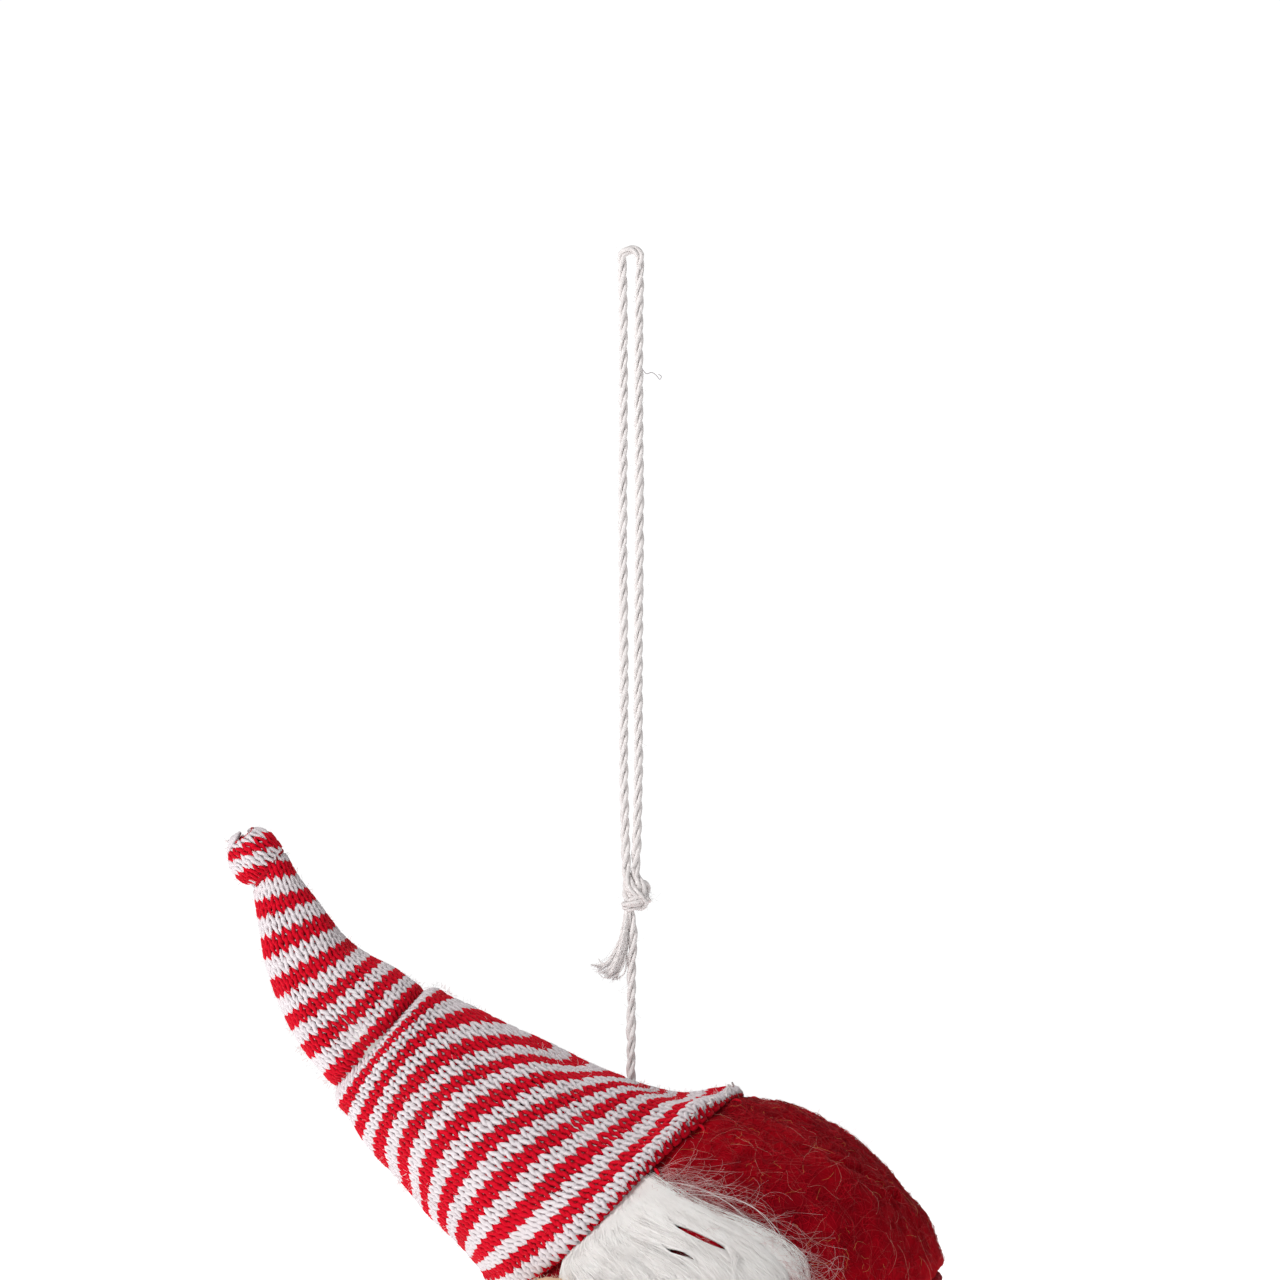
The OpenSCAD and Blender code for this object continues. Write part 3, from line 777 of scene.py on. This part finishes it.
def feltFibres(count, seed, long, radius, lift, curl=0.5, starts=None, flow=0.0):  # on the felt
    draw = np.random.default_rng(seed)
    lat = np.degrees(np.arcsin(draw.uniform(-0.34, 0.88, count)))
    az = draw.uniform(0, 360, count)
    if starts:
        lat, az = starts(draw, count)
    start = onBall(np.clip(lat, -20, 62), az, np.full(count, body["radius"]))
    normal = unit(start)
    way = unit(np.cross(normal, draw.normal(size=(count, 3))))
    downwards = np.array([0, 0, -flow])
    way = unit(way + downwards - normal * (normal @ downwards)[:, None])
    side = np.cross(normal, way)
    steps = np.linspace(0, 1, 12)
    heading = draw.normal(size=(count, 1)) * curl * 2 * steps
    swing = draw.normal(size=(count, 1)) * curl
    heading += swing * np.sin(steps * fullTurn * draw.uniform(0.4, 1.2, (count, 1)))
    stride = draw.uniform(*long, (count, 1)) / len(steps)
    ahead, aside = np.cumsum(np.cos(heading) * stride, 1), np.cumsum(np.sin(heading) * stride, 1)
    lines = start[:, None] + way[:, None] * ahead[..., None] + side[:, None] * aside[..., None]
    height = lift[0] + (lift[1] - lift[0]) * draw.uniform(0, 1, count)[:, None] * np.sin(steps * math.pi)
    height += 0.1 * np.sin(steps * fullTurn * draw.uniform(0.5, 2, count)[:, None])
    ball = unit(lines) * body["radius"]
    lines = unit(lines) * (body["radius"] + feltDent(ball) + height)[..., None]
    lines[..., 2] = np.maximum(lines[..., 2], -body["baseDrop"] + 0.2)
    return tubes(lines, radius, 3, np.array([0.3, 0.2, 0.9]))


def onGnome(part):
    points, faces, marks = part
    return toRow(points), faces, marks


# fibres on the felt: paint, count, seed, range of length, radius, range of height, curl
hairKinds = {"feltHairs": (fibreRed, 7500, 81, (2, 8), 0.045, (0.0, 0.3), 0.8),
             "pinkHairs": (fibrePink, 1500, 82, (3, 12), 0.013, (0.05, 0.5), 0.35),
             "brightHairs": (fibreBright, 260, 85, (3, 9), 0.012, (0.1, 0.5), 0.35),
             "goldHairs": (fibreGold, 420, 83, (0.8, 4.0), 0.016, (0.1, 0.4), 0.5)}
for name, (paint, *kind) in hairKinds.items():
    piece(name, onGnome(feltFibres(*kind)), paint, "gnome")


def standingFuzz(count, seed, radius, long, ballAt, ballRadius, latRange=(-20, 60)):  # wisps off a round form
    draw = np.random.default_rng(seed)
    rise = draw.uniform(math.sin(math.radians(latRange[0])), math.sin(math.radians(latRange[1])), count)
    normal = unit(onBall(np.degrees(np.arcsin(rise)), draw.uniform(0, 360, count), np.ones(count)))
    way = unit(normal * 0.45 + draw.normal(size=normal.shape) * 0.5)
    length = draw.uniform(*long, count)
    side = unit(np.cross(way, draw.normal(size=way.shape)))
    bend = draw.uniform(-0.8, 0.8, count)
    lines = curling(ballAt + normal * ballRadius, way, length, side, bend)
    lines[..., 2] = np.maximum(lines[..., 2], -body["baseDrop"] + 0.2)
    return tubes(lines, radius, 3, np.array([0.3, 0.2, 0.9]))


bodyFuzz = standingFuzz(count=1400, seed=84, radius=0.013, long=(0.6, 2.0), ballAt=np.zeros(3),
                        ballRadius=34.0)
piece("bodyFuzz", onGnome(bodyFuzz), fibrePink, "gnome")
say("body")

# the disc's edge: share of its radius, and how far below its top
disc = {"radius": 30.4, "top": -13.7, "columns": 260,
        "edge": [(0.002, 0), (0.5, 0), (0.97, 0.05), (0.995, 0.4), (1.0, 1.0), (0.995, 1.9), (0.97, 2.25),
                 (0.5, 2.3), (0.002, 2.3)]}
edge = [(share, disc["top"] - drop) for share, drop in disc["edge"]]
rimLine = np.concatenate([np.linspace(a, b, 8, endpoint=False) for a, b in zip(edge, edge[1:])] + [edge[-1:]])
turns = np.linspace(0, fullTurn, disc["columns"], endpoint=False)
discPoints = np.stack([np.outer(rimLine[:, 0], np.cos(turns)) * disc["radius"],
                       np.outer(rimLine[:, 0], np.sin(turns)) * disc["radius"],
                       np.repeat(rimLine[:, 1:2], disc["columns"], 1)], -1)
discPoints[..., :2] *= (1 - 0.004 + 0.004 * bumps[2](discPoints))[..., None]
underside = discPoints[..., 2] < -15
discPoints[..., 2] += (0.07 * bumps[1](discPoints) + 0.05 * bumps[2](discPoints)) * underside
discFaces = gridFaces(len(rimLine), disc["columns"])[:, ::-1]
piece("baseDisc", onGnome(surface(discPoints, discFaces)), baseRed, "gnome", ("base_disc",))
# each tack's shape: share of its length, and height over the ball
tacks = {"count": 12, "lat": 46.8, "wave": 5.0, "long": 1.9, "radius": 0.28,
         "shape": ((0, -0.3), (0.2, 0.2), (0.5, 0.42), (0.8, 0.2), (1, -0.3))}
tackParts = []
for k in range(tacks["count"]):
    turned = (k + 0.5) * 360 / tacks["count"]
    az = turned - body["faceTurn"]
    tackLat = tacks["lat"] - tacks["wave"] * math.sin(2 * math.radians(turned))
    spots = [onBall(tackLat + tacks["long"] * (share - 0.5) * 1.6, az + 0.8 * share,
                    np.array(body["radius"] + high)) for share, high in tacks["shape"]]
    tackParts.append(tubes(smoothLine(spots, 0.15)[None], tacks["radius"], 6, np.array([0.1, 0.2, 1.0])))
piece("brimTacks", onGnome(joined(tackParts)), knitRed, "gnome", ("brim_stitches",))

nose = {"radius": 8.0, "out": 32.0, "up": 17.0, "rows": 90, "columns": 140, "fill": 1.0}
noseAt = onBall(0, 0, np.array(nose["out"])) + np.array([0, 0, nose["up"]])
noseGrid, noseTurns = np.meshgrid(np.linspace(-89.5, 89.5, nose["rows"]),
                                  np.linspace(0, 360, nose["columns"], endpoint=False), indexing="ij")
noseSkin = onBall(noseGrid, noseTurns, np.full(noseGrid.shape, nose["radius"] - 0.15))
noseBumps = ((0.14, ripples(91, 6.0)), (0.06, ripples(92, 2.0)), (0.03, ripples(93, 0.9)))
noseLift = sum(high * bump(noseSkin) for high, bump in noseBumps)
noseSkin = noseAt + noseSkin + unit(noseSkin) * noseLift[..., None]
noseBall = piece("noseBall", onGnome(surface(noseSkin, gridFaces(nose["rows"], nose["columns"]))), skinFelt,
                 "gnome", ("nose",))
noseFuzz = standingFuzz(count=1500, seed=94, radius=0.02, long=(0.4, 1.3), ballAt=noseAt,
                        ballRadius=nose["radius"] - 0.2, latRange=(-80, 80))
piece("noseFuzz", onGnome(noseFuzz), fibreSkin, "gnome")
say("nose and base")


# how far up the ball, and the angles from the nose where the lock starts and ends
sideRows = np.array([[52, 22, 52], [46, 9, 53], [40, 5, 55], [34, 8, 57], [27, 12, 59.5], [20, 14.5, 61.5],
                     [12, 15, 63], [4, 15, 63.5], [-4, 15, 60], [-11, 15, 52], [-16, 15, 44], [-20, 15, 35]],
                    float)
chinRows = np.array([[20, -16, 16], [12, -17, 17], [3, -17, 17], [-6, -17, 17], [-14, -16, 16],
                     [-20, -15, 15]], float)
beard = {"thick": 3.9, "strands": 3600, "chinStrands": 1300, "points": 18, "radius": 0.085, "edge": 1200,
         "locks": 9, "padRows": 70, "padColumns": 60}


def rowsAt(rows, down):  # the two edges of a lock, down runs from 0 at its top to 1 at its foot
    mark = down * (len(rows) - 1)
    return [np.interp(mark, np.arange(len(rows)), rows[:, i]) for i in range(3)]


# two narrow gaps in the wool: latitude, angle, the way that each runs, its half length and half width
gaps = [(23.8, 51.5, -0.90, 0.43, 7.5, 0.95), (23.6, 44.6, -0.78, 0.63, 3.6, 0.9)]


def fullness(course, down):  # thick beside the nose, thin towards the cheek and flat under the brim
    course = np.clip(course, 0, 1)
    underBrim = np.clip((down - 0.08) / 0.3, 0, 1) ** 0.6
    return (underBrim * np.minimum(1, course * 6) ** 0.5 * (1 - course ** 3) ** 0.6
            * (0.3 + 0.7 * np.sin(math.pi * (np.clip(down, 0, 1) * 0.8 + 0.08)) ** 0.7))


def chinFullness(course, down):
    rounded = np.sin(math.pi * np.clip(course * 0.8 + 0.1, 0, 1))
    return rounded * (0.35 + 0.65 * np.sin(math.pi * (np.clip(down, 0, 1) * 0.85 + 0.08)))


def partedAt(lat, az, side):  # how far the gaps push a strand aside in degrees, and how open the wool is
    push, opening = np.zeros_like(az), np.zeros_like(az)
    for gapLat, gapAz, wayLat, wayAz, long, wide in gaps:
        dLat, dAz = lat - gapLat, az * side - gapAz
        run, off = dLat * wayLat + dAz * wayAz, dAz * -wayLat + dLat * wayAz
        lens = np.exp(-(run / long) ** 4)
        nearest = np.argmin(np.abs(run), axis=1)
        edge = np.sign(np.take_along_axis(off, nearest[:, None], 1))
        push += side * edge * np.maximum(0, wide * lens - edge * off) * np.clip(lens * 4, 0, 1)
        opening = np.maximum(opening, lens * np.exp(-(off / wide) ** 2))
    return push, opening


def beardPad(rows, side, name, node):  # the dense wool under the strands
    down, across = np.meshgrid(np.linspace(0, 1, beard["padRows"]), np.linspace(0, 1, beard["padColumns"]),
                               indexing="ij")
    lat, low, high = rowsAt(rows, down)
    az = (low + (high - low) * across) * side
    full = chinFullness(across, down) if rows is chinRows else fullness(across, down)
    full = full * np.clip((1 - down) * 8, 0, 1) ** 0.5          # closed at its foot
    opening = np.minimum(1, partedAt(lat, az, side)[1] * 1.6) if side > 0 else 0 * az
    radius = body["radius"] - 1.0 + (beard["thick"] * 0.88 + 0.4) * full * (1 - 1.6 * opening)
    points = onBall(lat, az, radius)
    points = points + unit(points) * ((0.2 * bumps[2](points) + 0.4 * bumps[1](points)) * full)[..., None]
    faces = gridFaces(beard["padRows"], beard["padColumns"], False)
    piece(name, onGnome(surface(points, faces if side < 0 else faces[:, ::-1])), beardUnder,
          "gnome", (node,))


def beardStrands(rows, side, count, seed, spread=(0.0, 1.0), radius=beard["radius"], lift=(0.72, 1.0),
                 wild=1.0):
    draw = np.random.default_rng(seed)
    across = draw.uniform(*spread, count)
    first = draw.uniform(-0.02, 0.45, count) * draw.uniform(0, 1, count)
    last = np.minimum(1.02, first + draw.uniform(0.45, 0.95, count))
    down = first[:, None] + (last - first)[:, None] * np.linspace(0, 1, beard["points"])
    locks = np.round(across * beard["locks"]) / beard["locks"] + draw.normal(size=count) * 0.02
    gather = np.linspace(0.15, 0.65, beard["points"])[None] * draw.uniform(0.4, 1, count)[:, None]
    course = across[:, None] * (1 - gather) + locks[:, None] * gather
    phase = draw.uniform(0, fullTurn, count)[:, None]
    waves = 0.035 * wild * np.sin(down * draw.uniform(5, 11, count)[:, None] + phase)
    swirl = 0.03 * wild * np.sin(down * 8 + np.round(across * beard["locks"])[:, None] * 1.7)
    course = course + waves + swirl
    lat, low, high = rowsAt(rows, np.clip(down, 0, 1))
    lat = lat - np.maximum(down - 1, 0) * 60
    az = (low + (high - low) * course) * side
    full = chinFullness(course, down) if rows is chinRows else fullness(course, down)
    if side > 0 and rows is sideRows:
        az = az + partedAt(lat, az, side)[0]
    depth = draw.uniform(*lift, count)[:, None] ** 0.6
    ridge = 0.2 * np.cos(fullTurn * across * beard["locks"])[:, None] * full
    height = body["radius"] + 0.15 + beard["thick"] * full * depth + ridge
    height = height + 0.12 * np.sin(down * draw.uniform(6, 16, count)[:, None] + phase * 2)
    points = onBall(lat, az, height)
    points = points + unit(points) * (0.4 * bumps[1](points) * full)[..., None]
    short = np.linalg.norm(points, axis=-1, keepdims=True)
    points = points * np.maximum(1, (body["radius"] + 0.1) / short)
    points[..., 2] = np.maximum(points[..., 2], -body["baseDrop"] + 0.3)
    taper = np.interp(np.linspace(0, 1, beard["points"]), [0, 0.1, 0.75, 1], [0.5, 1, 0.85, 0.15])
    thick = radius * draw.uniform(0.6, 1.5, count)[:, None] * taper[None]
    return tubes(points, thick, 3, unit(points))


def beardRim(side):  # places spread about the outer edge of a lock
    def starts(draw, count):
        lat, _, high = rowsAt(sideRows, draw.uniform(0, 0.72, count))
        return lat + draw.normal(0, 1.5, count), (high + draw.normal(-1.0, 4.0, count)) * side
    return starts


def inGaps(draw, count):  # places along the two gaps in the wool
    chosen = np.array(gaps)[draw.integers(0, len(gaps), count)]
    along = draw.uniform(-0.8, 0.5, count) * chosen[:, 4]
    return (chosen[:, 0] + chosen[:, 2] * along + draw.normal(0, 0.6, count),
            chosen[:, 1] + chosen[:, 3] * along + draw.normal(0, 0.6, count))


def wool(name, part, paint=beardWhite):
    piece(name, onGnome(part), paint, "gnome")


for side, name in ((-1, "Left"), (1, "Right")):
    beardPad(sideRows, side, f"beardPad{name}", f"beard_{name.lower()}")
    wool(f"beardLocks{name}", beardStrands(sideRows, side, beard["strands"], 100 + side))
    wool(f"beardFine{name}", beardStrands(sideRows, side, 2000, 110 + side, spread=(0.0, 1.06), radius=0.03,
                                          lift=(0.75, 1.12), wild=1.6))
    wool(f"beardWisps{name}", feltFibres(beard["edge"], 120 + side, (3, 14), 0.016, (0.3, 1.3), curl=0.5,
                                         starts=beardRim(side), flow=2.0), beardMauve)
strips = []
for gapLat, gapAz, wayLat, wayAz, long, wide in gaps:
    run, off = np.meshgrid(np.linspace(-long, long, 24), np.linspace(-wide, wide, 8) * 1.7, indexing="ij")
    strip = onBall(gapLat + wayLat * run + wayAz * off, gapAz + wayAz * run - wayLat * off,
                   body["radius"] + 2.0 - 1.2 * (run / long) ** 4)
    strips.append(surface(strip, gridFaces(24, 8, False)))
piece("gapFelt", onGnome(joined(strips)), feltRed, "gnome")
wool("gapHairs", feltFibres(60, 141, (1.5, 4), 0.022, (2.2, 3.2), curl=0.3, starts=inGaps, flow=1.5),
     beardMauve)
beardPad(chinRows, 1, "beardPadChin", "beard_chin")
wool("beardLocksChin", beardStrands(chinRows, 1, beard["chinStrands"], 131, spread=(0.02, 0.98)))
wool("beardFineChin", beardStrands(chinRows, 1, 500, 132, radius=0.04, lift=(0.7, 1.15), wild=1.8))
say("beard")


for node, paint in (("hat_stuffing", battingWhite), ("tip_stuffing", battingWhite), ("core_ball", foamWhite),
                    ("anchor_knot", cottonWhite)):
    mesh = frame["nodes"][node].data
    layer = mesh.attributes.new("restPlace", "FLOAT_VECTOR", "POINT")
    spots = np.zeros(len(mesh.vertices) * 3, np.float32)
    mesh.vertices.foreach_get("co", spots)
    layer.data.foreach_set("vector", spots)
    mesh.materials.clear()
    mesh.materials.append(paint)


studio = {"floorAt": -0.235, "floorRadius": 3.0, "glow": 0.8, "skyBright": 0.22, "backdropBright": 1.05,
          "aim": (0, 0, -0.12)}
floorPaint = Paint("floorWhite", Roughness=0.9, Emission_Color=(1, 1, 1, 1), Emission_Strength=studio["glow"])
floorGrain = floorPaint.cloud(floorPaint.add("ShaderNodeTexCoord", out=3), 30.0)
floorPaint.set(Base_Color=floorPaint.mixed(floorGrain, (0.90, 0.90, 0.90), (0.93, 0.93, 0.93)))
around = np.linspace(0, fullTurn, 96, endpoint=False)
rings = np.linspace(0.001, studio["floorRadius"], 12)
floorPoints = np.stack([np.outer(rings, np.cos(around)), np.outer(rings, np.sin(around)),
                        np.full((12, 96), studio["floorAt"])], -1).reshape(-1, 3)
floorMesh = bpy.data.meshes.new("floor")
floorMesh.from_pydata(floorPoints.tolist(), [], gridFaces(12, 96)[:, ::-1].tolist())
floorMesh.materials.append(floorPaint.material)
floor = bpy.data.objects.new("floor", floorMesh)
bpy.context.scene.collection.objects.link(floor)

lamps = {"key": {"at": (-0.74, -0.56, 0.56), "size": 0.4, "power": 8.4},
         "fill": {"at": (0.5, -1.1, 0.1), "size": 0.9, "power": 0.45},
         "back": {"at": (0.2, 0.9, 0.6), "size": 0.8, "power": 3.4}}
for label, lamp in lamps.items():
    light = bpy.data.lights.new(label, "AREA")
    light.shape, light.size, light.energy = "DISK", lamp["size"], lamp["power"]
    made = bpy.data.objects.new(label, light)
    bpy.context.scene.collection.objects.link(made)
    made.location = lamp["at"]
    aim = Vector(studio["aim"]) - Vector(lamp["at"])
    made.rotation_euler = aim.to_track_quat("-Z", "Y").to_euler()
world = bpy.data.worlds.new("studio")
world.use_nodes = True
bpy.context.scene.world = world
sky = world.node_tree
rays = sky.nodes.new("ShaderNodeLightPath")
amount = sky.nodes.new("ShaderNodeMapRange")
amount.inputs["To Min"].default_value = studio["skyBright"]
amount.inputs["To Max"].default_value = studio["backdropBright"]
sky.links.new(rays.outputs["Is Camera Ray"], amount.inputs["Value"])
sky.nodes["Background"].inputs["Color"].default_value = (1, 1, 1, 1)
sky.links.new(amount.outputs[0], sky.nodes["Background"].inputs["Strength"])
bpy.context.scene.view_settings.view_transform = "Standard"
say("studio")

bpy.context.view_layer.update()
say("finished")
